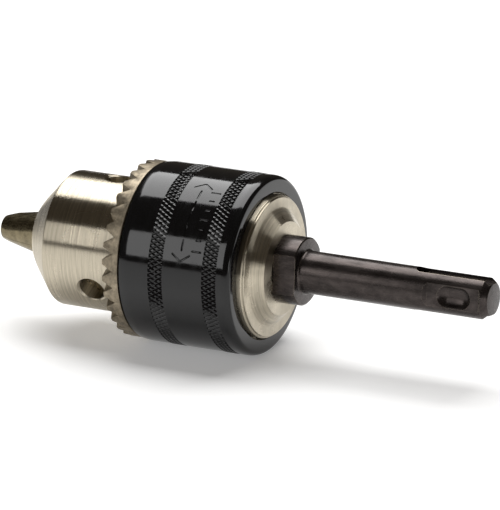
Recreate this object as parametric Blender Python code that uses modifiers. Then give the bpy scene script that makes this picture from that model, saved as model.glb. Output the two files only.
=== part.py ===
"""Key-operated three-jaw drill chuck, 13 mm, on an SDS-plus adapter shank.

The chuck axis is the X axis. The origin is the centre of the shank's end face,
the shank points along +X and the jaws along -X. +Z is up and the chuck lies on
its grip shell. Jaws are modelled closed. Lengths are in metres.
"""

import math

import bmesh
import bpy
from mathutils import Matrix, Vector

MM = 0.001
CLEARANCE = 0.3 * MM

# Grip shell, the black outer sleeve
GRIP_LENGTH = 28.6 * MM
GRIP_WALL = 2.0 * MM
GRIP_FRONT_CHAMFER = 0.4 * MM
GRIP_CORNER_LENGTH = 2.25 * MM
GRIP_CORNER_HEIGHT = 1.4 * MM
LIP_REACH = 2.2 * MM
LIP_THICKNESS = 1.6 * MM
BAND_DEPTH = 0.15 * MM
BAND_WIDTH = 3.7 * MM
BAND_STARTS = (7.8 * MM, 21.7 * MM)

# Toothed ring, turned by the chuck key
RING_BELOW_GRIP = 0.4 * MM
TOOTH_COUNT = 32
TOOTH_DEPTH = 2.55 * MM
TOOTH_LAND = 1.0 * MM
TOOTH_TIP_TO_SHELL = 4.3 * MM
TOOTH_TURN = math.radians(-0.4)
TOOTH_CUTTER_GROWTH = 1.2
SPIGOT_LENGTH = 3.0 * MM
SPIGOT_WALL = 1.2 * MM

# Chuck body
NOSE_WALL = 2.536 * MM
NOSE_LENGTH = 30.1 * MM
NOSE_BORE_R = 6.8 * MM
NOSE_FACE_R = 7.2 * MM
NOSE_CONE_SLOPE = 1.08
NOSE_CONE_FRONT_R = 8.03 * MM
NOSE_ROUNDING = 3.0 * MM
NOSE_EDGE_BLEND = 0.6 * MM
NECK_R = 11.3 * MM
NECK_FRONT = 4.2 * MM
REAR_FACE_STAND = 1.6 * MM
REAR_STEP = 0.35 * MM
REAR_FLAT_R = 14.0 * MM
HUB_R = 11.42 * MM
HUB_RISE = 2.5 * MM
WEB_THICKNESS = 3.0 * MM
WEB_HOLE_R = 3.4 * MM

# Key holes
KEY_HOLE_R = 3.2 * MM
KEY_HOLE_MOUTH_R = 3.85 * MM
KEY_HOLE_DEPTH = 7.8 * MM
KEY_HOLE_TO_SHELL = 10.7 * MM
KEY_HOLE_TURN = math.radians(-2.0)
KEY_HOLE_PHASE = math.radians(4.0)

# Jaws and split nut
JAW_COUNT = 3
JAW_ANGLE = math.radians(14.5)
JAW_R = 4.25 * MM
JAW_TIP_STAND = 11.2 * MM
JAW_OUTER_R_AT_NOSE = 5.7 * MM
JAW_TIP_ROUNDING = 1.2 * MM
JAW_LAND_R = 0.35 * MM
JAW_REAR_TO_SHELL = 1.0 * MM
JAW_THREAD_PITCH = 2.0 * MM
JAW_THREAD_DEPTH = 0.7 * MM
SMALLEST_GRIP = 1.5 * MM
LARGEST_GRIP = 13.0 * MM
NUT_HUB_LENGTH = 3.6 * MM
NUT_FLANGE_LENGTH = 3.4 * MM
NUT_THREAD_CRESTS = 3
NUT_TO_SHELL = 0.7 * MM
NUT_SEAT_WIDTH = 3.28 * MM

# Ball thrust bearing behind the nut
BALL_COUNT = 12
BALL_R = 0.8 * MM
BALL_CLEARANCE = 0.2 * MM
CAGE_THICKNESS = 0.8 * MM
CAGE_SIDE_PLAY = 0.04 * MM
RACE_THICKNESS = 1.0 * MM

# Adapter: mounting thread, spanner collar and SDS-plus shank
THREAD_MAJOR_R = 6.35 * MM
THREAD_LENGTH = 17.1 * MM
COLLAR_STAND = 1.65 * MM
COLLAR_LENGTH = 5.6 * MM
COLLAR_CHAMFER = 0.3 * MM
FLAT_STAND = 0.15 * MM
SHANK_R = 5.0 * MM
SHANK_LENGTH = 47.1 * MM
SHANK_END_R = 4.0 * MM
SHANK_CHAMFER = 1.7 * MM
ADAPTER_TURN = math.radians(-5.0)
OPEN_GROOVE_LENGTH = 19.4 * MM
OPEN_GROOVE_WIDTH = 4.4 * MM
OPEN_GROOVE_DEPTH = 1.4 * MM
OPEN_GROOVE_ROUND_SHARE = 0.45
LOCK_FLAT_DEPTH = 0.8 * MM
LOCK_FLAT_LENGTH = 12.9 * MM
LOCK_FLAT_TO_END = 2.0 * MM
LOCK_FLAT_FRONT_RAMP = 1.05 * MM
LOCK_FLAT_REAR_RAMP = 0.5 * MM
LOCK_BALL_R = 3.5 * MM
LOCK_POCKET_DEPTH = 1.1 * MM
LOCK_POCKET_LENGTH = 8.4 * MM
LOCK_POCKET_TO_END = 4.0 * MM

# Left-hand lock screw inside the chuck
SCREW_R = 3.0 * MM
SCREW_LENGTH = 14.0 * MM
SCREW_HEAD_R = 5.0 * MM
SCREW_HEAD_LENGTH = 2.3 * MM
SCREW_SLOT_WIDTH = 1.2 * MM
SCREW_SLOT_DEPTH = 1.2 * MM
SCREW_SLOT_LENGTH = 6.5 * MM

# Threads of the nut and the jaws: (share of the pitch, share of the depth) along one pitch
NUT_THREAD_FORM = ((0.1, 0.0), (0.6, 1.0), (0.75, 0.0))
JAW_THREAD_FORM = ((0.1, 0.0), (0.25, 1.0), (0.6, 1.0), (0.95, 0.0))
JAW_THREAD_RUN_OUT = 0.3

# Facets of round shapes, and the room that cutters stand clear
ROUND_STEPS = 48
RING_STEPS = 2 * TOOTH_COUNT
SHANK_STEPS = 32
JAW_STEPS = 28
HOLE_STEPS = 24
BALL_POCKET_STEPS = 12
BALL_STEPS = (8, 6)
LOCK_BALL_STEPS = (20, 11)
ROUND_RUN_OUT_STEPS = 4
ARC_STEPS = 5
GRIP_CORNER_STEPS = 6
JAW_TIP_STEPS = 4
NOSE_EDGE_STEPS = 2
MERGE = 0.01 * MM
SHARP_ANGLE = math.radians(30.0)
CUT_MARGIN = 2.0 * MM

# Planes across the axis, worked out from the shank's end face at x = 0
COLLAR_REAR_X = -SHANK_LENGTH
COLLAR_FRONT_X = COLLAR_REAR_X - COLLAR_LENGTH
HUB_X = COLLAR_FRONT_X - CLEARANCE
REAR_FACE_X = HUB_X - HUB_RISE
SHELL_REAR_X = REAR_FACE_X - REAR_FACE_STAND
SHELL_FRONT_X = SHELL_REAR_X - GRIP_LENGTH
NOSE_X = SHELL_FRONT_X - NOSE_LENGTH
JAW_TIP_X = NOSE_X - JAW_TIP_STAND
NECK_FRONT_X = SHELL_FRONT_X - NECK_FRONT
NUT_FRONT_X = NECK_FRONT_X + CLEARANCE
NUT_FLANGE_X = NUT_FRONT_X + NUT_HUB_LENGTH + CLEARANCE
NUT_REAR_X = NUT_FLANGE_X + NUT_FLANGE_LENGTH
BALL_X = NUT_REAR_X + CLEARANCE + BALL_R
RACE_X = BALL_X + BALL_R + CLEARANCE
SHOULDER_X = RACE_X + RACE_THICKNESS + CLEARANCE
THREAD_FRONT_X = COLLAR_FRONT_X - THREAD_LENGTH
WEB_REAR_X = THREAD_FRONT_X - CLEARANCE
WEB_FRONT_X = WEB_REAR_X - WEB_THICKNESS
JAW_REAR_X = SHELL_FRONT_X + JAW_REAR_TO_SHELL
KEY_HOLE_X = SHELL_FRONT_X - KEY_HOLE_TO_SHELL

# Radii and slopes that follow from the driving dimensions, starting with the nose over the jaws
JAW_SLOPE = math.tan(JAW_ANGLE)
NOSE_R = JAW_OUTER_R_AT_NOSE + JAW_SLOPE * NOSE_LENGTH + NOSE_WALL
GRIP_BORE_R = NOSE_R + NUT_SEAT_WIDTH
GRIP_R = GRIP_BORE_R + GRIP_WALL
LIP_R = GRIP_BORE_R - LIP_REACH
RING_R = GRIP_R - RING_BELOW_GRIP
BODY_REAR_R = GRIP_BORE_R - CLEARANCE
REAR_DISC_R = LIP_R - CLEARANCE
RING_BORE_R = NOSE_R + CLEARANCE
NOSE_CONE_LENGTH = (NOSE_R - NOSE_CONE_FRONT_R) / NOSE_CONE_SLOPE
COLLAR_R = THREAD_MAJOR_R + COLLAR_STAND
FLAT_HEIGHT = THREAD_MAJOR_R + FLAT_STAND
NUT_FLANGE_R = GRIP_BORE_R - NUT_TO_SHELL
SPIGOT_BORE_R = NUT_FLANGE_R + CLEARANCE
SPIGOT_R = SPIGOT_BORE_R + SPIGOT_WALL
NUT_HUB_R = NOSE_R
CAGE_INNER_R = RING_BORE_R + CAGE_SIDE_PLAY
CAGE_OUTER_R = GRIP_BORE_R - CLEARANCE - CAGE_SIDE_PLAY
BEARING_R = (CAGE_INNER_R + CAGE_OUTER_R) / 2
JAW_RADIAL_R = JAW_R / math.cos(JAW_ANGLE)
JAW_TRAVEL = (LARGEST_GRIP - SMALLEST_GRIP) / 2 / math.sin(JAW_ANGLE)
JAW_OPEN_R = BODY_REAR_R - (LARGEST_GRIP - SMALLEST_GRIP) / 2 - CLEARANCE
JAW_TURNS = [KEY_HOLE_TURN + math.pi / JAW_COUNT + 2 * math.pi * k / JAW_COUNT for k in range(JAW_COUNT)]

TURN_TO_X = Matrix.Rotation(math.pi / 2, 4, "Y")


def start_scene():
    for obj in list(bpy.data.objects):
        bpy.data.objects.remove(obj)


def new_collection(name):
    collection = bpy.data.collections.new(name)
    bpy.context.scene.collection.children.link(collection)
    return collection


def material(name, colour, roughness, metallic):
    mat = bpy.data.materials.new(name)
    mat.use_nodes = True
    shader = mat.node_tree.nodes["Principled BSDF"]
    shader.inputs["Base Color"].default_value = (*colour, 1.0)
    shader.inputs["Roughness"].default_value = roughness
    shader.inputs["Metallic"].default_value = metallic
    return mat


def about_axis(turn):
    """Turn about the chuck axis; a piece modelled along +Z goes to that angle."""
    return Matrix.Rotation(turn, 4, "X")


def move(x=0.0, y=0.0, z=0.0):
    return Matrix.Translation((x, y, z))


def jaw_outer_r(x):
    """Distance of a closed jaw's outer line from the chuck axis."""
    return JAW_OUTER_R_AT_NOSE + JAW_SLOPE * (x - NOSE_X)


def blend(start, corner, end, steps=ARC_STEPS):
    """Points of a smooth curve from start to end that leaves towards corner."""
    points = []
    for k in range(steps + 1):
        t = k / steps
        weights = ((1 - t) ** 2, 2 * t * (1 - t), t * t)
        points.append(tuple(sum(w * p[i] for w, p in zip(weights, (start, corner, end))) for i in (0, 1)))
    return points


def add_object(name, bm, collection, mat=None):
    mesh = bpy.data.meshes.new(name)
    bm.to_mesh(mesh)
    bm.free()
    obj = bpy.data.objects.new(name, mesh)
    collection.objects.link(obj)
    if mat is not None:
        mesh.materials.append(mat)
    return obj


def turned(name, profile, collection, mat=None, closed=False, steps=ROUND_STEPS, phase=0.5):
    """Turned piece: profile is (x, r), outer side listed from the +X end to the -X end."""
    bm = bmesh.new()
    verts = [bm.verts.new((r, 0.0, x)) for x, r in profile]
    for a, b in zip(verts, verts[1:]):
        bm.edges.new((a, b))
    if closed:
        bm.edges.new((verts[-1], verts[0]))
    obj = add_object(name, bm, collection, mat)
    screw = obj.modifiers.new("Turn", "SCREW")
    screw.axis = "Z"
    screw.steps = steps
    screw.render_steps = steps
    screw.use_merge_vertices = True
    screw.merge_threshold = MERGE
    screw.use_smooth_shade = True
    obj.matrix_world = TURN_TO_X @ Matrix.Rotation(phase * 2 * math.pi / steps, 4, "Z")
    return obj


def as_cutter(obj):
    obj.hide_render = True
    obj.display_type = "WIRE"
    return obj


def cut(obj, cutter, operation="DIFFERENCE"):
    boolean = obj.modifiers.new(cutter.name, "BOOLEAN")
    boolean.solver = "EXACT"
    boolean.operation = operation
    boolean.object = cutter


def rod_cutter(name, radius, length, matrix, steps=HOLE_STEPS):
    """Round cutter along its own Z, from z = 0 to z = length."""
    bm = bmesh.new()
    bmesh.ops.create_cone(
        bm, cap_ends=True, segments=steps, radius1=radius, radius2=radius, depth=length,
        matrix=matrix @ move(z=length / 2),
    )
    return as_cutter(add_object(name, bm, CUTTERS))


def box_cutter(name, size, matrix):
    bm = bmesh.new()
    bmesh.ops.create_cube(bm, size=1.0, matrix=matrix @ Matrix.Diagonal((*size, 1.0)))
    return as_cutter(add_object(name, bm, CUTTERS))


def jaw_matrix(turn):
    """Frame of a jaw's rod: +Z runs back along the rod from the jaw tip's plane."""
    axis_r = jaw_outer_r(JAW_TIP_X) - JAW_RADIAL_R
    tilt = Matrix.Rotation(math.pi / 2 - JAW_ANGLE, 4, "Y")
    return about_axis(turn) @ move(x=JAW_TIP_X, z=axis_r) @ tilt


def make_body(mat):
    cone_end_x = NOSE_X + NOSE_CONE_LENGTH
    rounding_x = NOSE_X + NOSE_ROUNDING

    def cone_r(x):
        return NOSE_R - NOSE_CONE_SLOPE * (cone_end_x - x)

    rounding = blend((NOSE_X, NOSE_FACE_R), (NOSE_X, cone_r(NOSE_X)), (rounding_x, cone_r(rounding_x)))
    edge_start = (cone_end_x - NOSE_EDGE_BLEND, cone_r(cone_end_x - NOSE_EDGE_BLEND))
    edge_end = (cone_end_x + NOSE_EDGE_BLEND, NOSE_R)
    edge = blend(edge_start, (cone_end_x, NOSE_R), edge_end, NOSE_EDGE_STEPS)
    rear_land_x = SHELL_REAR_X - LIP_THICKNESS - CLEARANCE
    thread_bore_r = THREAD_MAJOR_R + CLEARANCE / 2
    outer = [
        (HUB_X, thread_bore_r), (HUB_X, HUB_R), (REAR_FACE_X, REAR_FLAT_R),
        (REAR_FACE_X, REAR_DISC_R - REAR_STEP), (REAR_FACE_X - REAR_STEP, REAR_DISC_R),
        (rear_land_x, REAR_DISC_R), (rear_land_x, BODY_REAR_R), (SHOULDER_X, BODY_REAR_R),
        (SHOULDER_X, NECK_R), (NECK_FRONT_X, NECK_R), (NECK_FRONT_X, NOSE_R),
    ]
    bore = [
        (NOSE_X, NOSE_BORE_R), (WEB_FRONT_X, NOSE_BORE_R), (WEB_FRONT_X, WEB_HOLE_R),
        (WEB_REAR_X, WEB_HOLE_R), (WEB_REAR_X, thread_bore_r),
    ]
    profile = outer + list(reversed(edge)) + list(reversed(rounding)) + bore
    body = turned("chuck_body", profile, PARTS, mat, closed=True)
    rod_length = (JAW_REAR_X + CUT_MARGIN / 2 - JAW_TIP_X) / math.cos(JAW_ANGLE) + JAW_TRAVEL
    for number, turn in enumerate(JAW_TURNS, 1):
        hole = rod_cutter(f"jaw_hole_{number}", JAW_R + CLEARANCE, rod_length, jaw_matrix(turn))
        cut(body, hole)
    top_r = NOSE_R + CUT_MARGIN
    bottom_r = NOSE_R - KEY_HOLE_DEPTH
    key_profile = [
        (top_r, 0.0), (top_r, KEY_HOLE_MOUTH_R + CUT_MARGIN),
        (NOSE_R - KEY_HOLE_MOUTH_R + KEY_HOLE_R, KEY_HOLE_R), (bottom_r, KEY_HOLE_R), (bottom_r, 0.0),
    ]
    for number in range(JAW_COUNT):
        turn = KEY_HOLE_TURN + 2 * math.pi * number / JAW_COUNT
        hole = as_cutter(turned(f"key_hole_{number + 1}", key_profile, CUTTERS, steps=HOLE_STEPS))
        hole.matrix_world = about_axis(turn) @ move(x=KEY_HOLE_X) @ Matrix.Rotation(KEY_HOLE_PHASE, 4, "Z")
        cut(body, hole)


def make_ring(mat):
    """Toothed ring: bevel teeth whose lines all meet where the key's axis crosses the chuck's.

    Each gap is cut by a four-sided cone, grown from the root line so that its corners clear the face.
    """
    tip_slope = (KEY_HOLE_TO_SHELL - TOOTH_TIP_TO_SHELL) / RING_R
    front_outer_x = SHELL_FRONT_X - TOOTH_TIP_TO_SHELL
    front_inner_x = KEY_HOLE_X + tip_slope * RING_BORE_R
    rear_x = SHELL_FRONT_X - CLEARANCE
    spigot_x = rear_x + SPIGOT_LENGTH
    step_x = NUT_FLANGE_X - CLEARANCE
    profile = [
        (spigot_x, SPIGOT_R), (rear_x, SPIGOT_R), (rear_x, RING_R), (front_outer_x, RING_R),
        (front_inner_x, RING_BORE_R), (step_x, RING_BORE_R), (step_x, SPIGOT_BORE_R),
        (spigot_x, SPIGOT_BORE_R),
    ]
    ring = turned("toothed_ring", profile, PARTS, mat, closed=True, steps=RING_STEPS)
    ring.matrix_world = about_axis(TOOTH_TURN) @ ring.matrix_world
    gap_half = TOOTH_CUTTER_GROWTH * (math.pi * RING_R / TOOTH_COUNT - TOOTH_LAND / 2)
    gap_depth = TOOTH_CUTTER_GROWTH * TOOTH_DEPTH
    inner_r = RING_BORE_R - CUT_MARGIN
    outer_r = RING_R + CUT_MARGIN
    shear = Matrix.Identity(4)
    shear[0][0] = gap_depth / gap_half
    shear[0][2] = tip_slope - (gap_depth - TOOTH_DEPTH) / RING_R
    shear[0][3] = KEY_HOLE_X
    bm = bmesh.new()
    for number in range(TOOTH_COUNT):
        turn = TOOTH_TURN + 2 * math.pi * number / TOOTH_COUNT
        bmesh.ops.create_cone(
            bm, cap_ends=True, segments=4, radius1=gap_half * inner_r / RING_R,
            radius2=gap_half * outer_r / RING_R, depth=outer_r - inner_r,
            matrix=about_axis(turn) @ shear @ move(z=(inner_r + outer_r) / 2),
        )
    bmesh.ops.recalc_face_normals(bm, faces=bm.faces)
    cut(ring, as_cutter(add_object("tooth_gaps", bm, CUTTERS)))


def make_shell(mat):
    corner = blend(
        (SHELL_REAR_X, GRIP_R - GRIP_CORNER_HEIGHT), (SHELL_REAR_X, GRIP_R),
        (SHELL_REAR_X - GRIP_CORNER_LENGTH, GRIP_R), GRIP_CORNER_STEPS,
    )
    outer = [(SHELL_REAR_X, LIP_R)] + corner
    for start in reversed(BAND_STARTS):
        front = SHELL_FRONT_X + start
        rear = front + BAND_WIDTH
        outer += [
            (rear + BAND_DEPTH, GRIP_R), (rear, GRIP_R - BAND_DEPTH),
            (front, GRIP_R - BAND_DEPTH), (front - BAND_DEPTH, GRIP_R),
        ]
    spigot_seat_r = SPIGOT_R + CLEARANCE
    seat_x = SHELL_FRONT_X + SPIGOT_LENGTH
    lip_x = SHELL_REAR_X - LIP_THICKNESS
    outer += [(SHELL_FRONT_X + GRIP_FRONT_CHAMFER, GRIP_R), (SHELL_FRONT_X, GRIP_R - GRIP_FRONT_CHAMFER)]
    bore = [
        (SHELL_FRONT_X, spigot_seat_r), (seat_x, spigot_seat_r), (seat_x, GRIP_BORE_R),
        (lip_x, GRIP_BORE_R), (lip_x, LIP_R),
    ]
    turned("grip_shell", outer + bore, PARTS, mat, closed=True)


def make_nut(mat):
    """Split nut: a flanged ring with a tapered threaded bore, sawn into two halves."""
    outer = [
        (NUT_REAR_X, NUT_FLANGE_R), (NUT_FLANGE_X, NUT_FLANGE_R), (NUT_FLANGE_X, NUT_HUB_R),
        (NUT_FRONT_X, NUT_HUB_R),
    ]
    bore = [(NUT_FRONT_X, jaw_outer_r(NUT_FRONT_X) + CLEARANCE)]
    for number in range(NUT_THREAD_CRESTS):
        x = NUT_FRONT_X + JAW_THREAD_PITCH * (number + 0.5)
        for along, deep in NUT_THREAD_FORM:
            place = x + along * JAW_THREAD_PITCH
            bore.append((place, jaw_outer_r(place) + CLEARANCE + deep * JAW_THREAD_DEPTH))
    bore.append((NUT_REAR_X, jaw_outer_r(NUT_REAR_X) + CLEARANCE))
    for number, side in enumerate((1, -1), 1):
        half = turned(f"nut_half_{number}", outer + bore, PARTS, mat, closed=True)
        width = 4 * GRIP_R
        place = move(x=NUT_FLANGE_X, y=side * (CLEARANCE / 2 - width / 2))
        saw = box_cutter(f"nut_saw_{number}", (width, width, width), place)
        cut(half, saw)


def make_bearing(cage_mat, steel):
    cage_half = CAGE_THICKNESS / 2
    profile = [
        (BALL_X + cage_half, CAGE_OUTER_R), (BALL_X - cage_half, CAGE_OUTER_R),
        (BALL_X - cage_half, CAGE_INNER_R), (BALL_X + cage_half, CAGE_INNER_R),
    ]
    cage = turned("ball_cage", profile, PARTS, cage_mat, closed=True)
    for number in range(BALL_COUNT):
        place = about_axis(2 * math.pi * number / BALL_COUNT) @ move(x=BALL_X, z=BEARING_R)
        along_x = place @ TURN_TO_X @ move(z=-CUT_MARGIN)
        pocket_name = f"ball_pocket_{number + 1}"
        pocket_r = BALL_R + BALL_CLEARANCE
        cut(cage, rod_cutter(pocket_name, pocket_r, 2 * CUT_MARGIN, along_x, BALL_POCKET_STEPS))
        bm = bmesh.new()
        around, along = BALL_STEPS
        bmesh.ops.create_uvsphere(bm, u_segments=around, v_segments=along, radius=BALL_R)
        ball = add_object(f"bearing_ball_{number + 1:02d}", bm, PARTS, steel)
        ball.data.shade_smooth()
        ball.matrix_world = place
    race_inner_r = CAGE_INNER_R + CLEARANCE / 2
    race_profile = [
        (RACE_X + RACE_THICKNESS, CAGE_OUTER_R), (RACE_X, CAGE_OUTER_R),
        (RACE_X, race_inner_r), (RACE_X + RACE_THICKNESS, race_inner_r),
    ]
    turned("bearing_race", race_profile, PARTS, steel, closed=True)


def jaw_tooth_cutter():
    """Turned band with saw-tooth ridges that cuts the thread into the jaws' outer sides."""
    front_x = JAW_REAR_X - (JAW_TRAVEL + NUT_HUB_LENGTH) * math.cos(JAW_ANGLE)
    count = int((JAW_REAR_X - front_x) / JAW_THREAD_PITCH)
    far_r = jaw_outer_r(JAW_REAR_X) + CUT_MARGIN
    rear_x = front_x + (count + JAW_THREAD_RUN_OUT) * JAW_THREAD_PITCH
    crest_clearance = CLEARANCE / 3
    profile = [(rear_x, far_r), (front_x, far_r)]
    for number in range(count):
        x = front_x + number * JAW_THREAD_PITCH
        for along, deep in JAW_THREAD_FORM:
            place = x + along * JAW_THREAD_PITCH
            sink = deep * (JAW_THREAD_DEPTH + crest_clearance)
            profile.append((place, jaw_outer_r(place) + crest_clearance - sink))
    profile.append((rear_x, jaw_outer_r(rear_x) + crest_clearance))
    return as_cutter(turned("jaw_teeth", profile, CUTTERS, closed=True))


def jaw_envelope():
    """Turned body that the jaws lie in: rounded at the tip, and low enough to clear the shell when open."""
    tip_r = jaw_outer_r(JAW_TIP_X)
    rear_x = JAW_REAR_X + CUT_MARGIN
    front_x = JAW_TIP_X + JAW_TIP_ROUNDING
    wide_x = front_x + JAW_R
    profile = [
        (rear_x, 0.0), (rear_x, JAW_OPEN_R), (wide_x, JAW_OPEN_R), (wide_x, jaw_outer_r(wide_x) + CLEARANCE),
    ]
    tip_face = (JAW_TIP_X, tip_r - JAW_TIP_ROUNDING)
    profile += blend((front_x, jaw_outer_r(front_x)), (JAW_TIP_X, tip_r), tip_face, JAW_TIP_STEPS)
    profile.append((JAW_TIP_X, 0.0))
    return as_cutter(turned("jaw_envelope", profile, CUTTERS))


def make_jaws(mat):
    tooth_cutter = jaw_tooth_cutter()
    envelope = jaw_envelope()
    reach = (JAW_REAR_X - JAW_TIP_X) / math.cos(JAW_ANGLE)
    extra = 2 * JAW_R
    half_sector = math.pi / JAW_COUNT
    for number, turn in enumerate(JAW_TURNS, 1):
        bm = bmesh.new()
        bmesh.ops.create_cone(
            bm, cap_ends=True, segments=JAW_STEPS, radius1=JAW_R, radius2=JAW_R,
            depth=reach + extra, matrix=jaw_matrix(0.0) @ move(z=(reach - extra) / 2),
        )
        for side in (1, -1):
            across = Vector((0.0, side * math.cos(half_sector), -math.sin(half_sector)))
            trim(bm, -across * CLEARANCE / 2, across)
        trim(bm, Vector((0.0, 0.0, JAW_LAND_R)), Vector((0.0, 0.0, -1.0)))
        jaw = add_object(f"jaw_{number}", bm, PARTS, mat)
        jaw.data.shade_smooth()
        jaw.data.set_sharp_from_angle(angle=SHARP_ANGLE)
        cut(jaw, envelope, "INTERSECT")
        cut(jaw, tooth_cutter)
        jaw.matrix_world = about_axis(turn)


def trim(bm, point, normal):
    """Cut away what lies beyond a plane and close the cut with one flat face."""
    geometry = bm.verts[:] + bm.edges[:] + bm.faces[:]
    result = bmesh.ops.bisect_plane(
        bm, geom=geometry, dist=MERGE / 100, plane_co=point, plane_no=normal, clear_outer=True,
    )
    rim = [e for e in result["geom_cut"] if isinstance(e, bmesh.types.BMEdge)]
    bmesh.ops.contextual_create(bm, geom=rim)
    bmesh.ops.recalc_face_normals(bm, faces=bm.faces)


def make_adapter(mat):
    thread_r = THREAD_MAJOR_R - CLEARANCE / 2
    bore_r = SCREW_R + CLEARANCE
    bore_x = WEB_FRONT_X + SCREW_LENGTH + CLEARANCE
    profile = [
        (0.0, 0.0), (0.0, SHANK_END_R), (-SHANK_CHAMFER, SHANK_R), (COLLAR_REAR_X, SHANK_R),
        (COLLAR_REAR_X, COLLAR_R - COLLAR_CHAMFER), (COLLAR_REAR_X - COLLAR_CHAMFER, COLLAR_R),
        (COLLAR_FRONT_X + COLLAR_CHAMFER, COLLAR_R), (COLLAR_FRONT_X, COLLAR_R - COLLAR_CHAMFER),
        (COLLAR_FRONT_X, thread_r), (THREAD_FRONT_X, thread_r), (THREAD_FRONT_X, bore_r),
        (bore_x, bore_r), (bore_x, 0.0),
    ]
    adapter = turned("sds_adapter", profile, PARTS, mat, steps=SHANK_STEPS)
    adapter.matrix_world = about_axis(ADAPTER_TURN) @ adapter.matrix_world
    collar_mid_x = (COLLAR_REAR_X + COLLAR_FRONT_X) / 2
    for side in (0, 1):
        open_turn = about_axis(ADAPTER_TURN + side * math.pi)
        lock_turn = about_axis(ADAPTER_TURN + math.pi / 2 + side * math.pi)
        size = (COLLAR_LENGTH + CUT_MARGIN, 3 * COLLAR_R, COLLAR_R)
        place = lock_turn @ move(x=collar_mid_x, z=FLAT_HEIGHT + COLLAR_R / 2)
        cut(adapter, box_cutter(f"spanner_flat_{side + 1}", size, place))
        cut(adapter, open_groove_cutter(side + 1, open_turn))
        cut(adapter, lock_flat_cutter(side + 1, lock_turn))
        cut(adapter, lock_pocket_cutter(side + 1, lock_turn))


def open_groove_cutter(number, turn):
    """Slot open at the shank's end, with a round run-out at its inner end."""
    length = OPEN_GROOVE_LENGTH + CUT_MARGIN
    bottom_r = SHANK_R - OPEN_GROOVE_DEPTH
    bm = bmesh.new()
    place = move(x=CUT_MARGIN - length / 2, z=bottom_r + SHANK_R / 2)
    size = (length, OPEN_GROOVE_WIDTH, SHANK_R)
    bmesh.ops.create_cube(bm, size=1.0, matrix=place @ Matrix.Diagonal((*size, 1.0)))
    upright = [
        e for e in bm.edges
        if abs(e.verts[0].co.z - e.verts[1].co.z) > SHANK_R / 2 and e.verts[0].co.x < -OPEN_GROOVE_LENGTH / 2
    ]
    bmesh.ops.bevel(
        bm, geom=upright, offset=OPEN_GROOVE_WIDTH * OPEN_GROOVE_ROUND_SHARE, segments=ROUND_RUN_OUT_STEPS,
        affect="EDGES", profile=0.5,
    )
    bmesh.ops.transform(bm, matrix=turn, verts=bm.verts)
    return as_cutter(add_object(f"open_groove_{number}", bm, CUTTERS))


def lock_flat_cutter(number, turn):
    """Flat with sloping ends, round the locking pocket."""
    rear_x = -LOCK_FLAT_TO_END
    front_x = rear_x - LOCK_FLAT_LENGTH
    bottom_r = SHANK_R - LOCK_FLAT_DEPTH
    bm = bmesh.new()
    place = move(x=(front_x + rear_x) / 2, z=bottom_r + SHANK_R / 2)
    size = (LOCK_FLAT_LENGTH, 3 * SHANK_R, SHANK_R)
    bmesh.ops.create_cube(bm, size=1.0, matrix=place @ Matrix.Diagonal((*size, 1.0)))
    rise = SHANK_R / LOCK_FLAT_DEPTH
    for vert in bm.verts:
        if vert.co.z > SHANK_R:
            front = vert.co.x < (front_x + rear_x) / 2
            vert.co.x += -LOCK_FLAT_FRONT_RAMP * rise if front else LOCK_FLAT_REAR_RAMP * rise
    bmesh.ops.transform(bm, matrix=turn, verts=bm.verts)
    return as_cutter(add_object(f"lock_flat_{number}", bm, CUTTERS))


def lock_pocket_cutter(number, turn):
    """Ball groove: a ball-ended slot sunk in the flat."""
    flat_r = SHANK_R - LOCK_FLAT_DEPTH
    centre_r = flat_r - LOCK_POCKET_DEPTH + LOCK_BALL_R
    chord_half = math.sqrt(LOCK_BALL_R ** 2 - (centre_r - flat_r) ** 2)
    stretch = LOCK_POCKET_LENGTH / 2 - chord_half
    centre_x = -LOCK_POCKET_TO_END - LOCK_POCKET_LENGTH / 2
    bm = bmesh.new()
    around, along = LOCK_BALL_STEPS
    bmesh.ops.create_uvsphere(bm, u_segments=around, v_segments=along, radius=LOCK_BALL_R, matrix=TURN_TO_X)
    for vert in bm.verts:
        vert.co.x += stretch if vert.co.x > 0 else -stretch
    bmesh.ops.transform(bm, matrix=turn @ move(x=centre_x, z=centre_r), verts=bm.verts)
    return as_cutter(add_object(f"lock_pocket_{number}", bm, CUTTERS))


def make_screw(mat):
    head_rear_x = WEB_FRONT_X - CLEARANCE
    head_front_x = head_rear_x - SCREW_HEAD_LENGTH
    end_x = head_rear_x + SCREW_LENGTH
    profile = [
        (end_x, 0.0), (end_x, SCREW_R - CLEARANCE), (end_x - CLEARANCE, SCREW_R), (head_rear_x, SCREW_R),
        (head_rear_x, SCREW_HEAD_R), (head_front_x + CLEARANCE, SCREW_HEAD_R),
        (head_front_x, SCREW_HEAD_R - CLEARANCE), (head_front_x, 0.0),
    ]
    screw = turned("lock_screw", profile, PARTS, mat, steps=HOLE_STEPS)
    slot_size = (SCREW_SLOT_DEPTH * 2, SCREW_SLOT_WIDTH, SCREW_SLOT_LENGTH)
    for number in range(2):
        place = about_axis(number * math.pi / 2) @ move(x=head_front_x)
        cut(screw, box_cutter(f"screw_slot_{number + 1}", slot_size, place))


def main():
    nickel = material("satin_nickel_steel", (0.62, 0.59, 0.52), 0.3, 1.0)
    ground = material("hardened_steel", (0.36, 0.34, 0.29), 0.4, 1.0)
    black = material("black_oxide_gloss", (0.012, 0.012, 0.013), 0.25, 0.4)
    dark = material("black_oxide_satin", (0.05, 0.045, 0.045), 0.4, 0.8)
    bright = material("bearing_steel", (0.6, 0.6, 0.6), 0.2, 1.0)
    brass = material("cage_brass", (0.6, 0.45, 0.2), 0.35, 1.0)
    make_body(nickel)
    make_ring(ground)
    make_shell(black)
    make_nut(ground)
    make_bearing(brass, bright)
    make_jaws(ground)
    make_adapter(dark)
    make_screw(dark)


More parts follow.
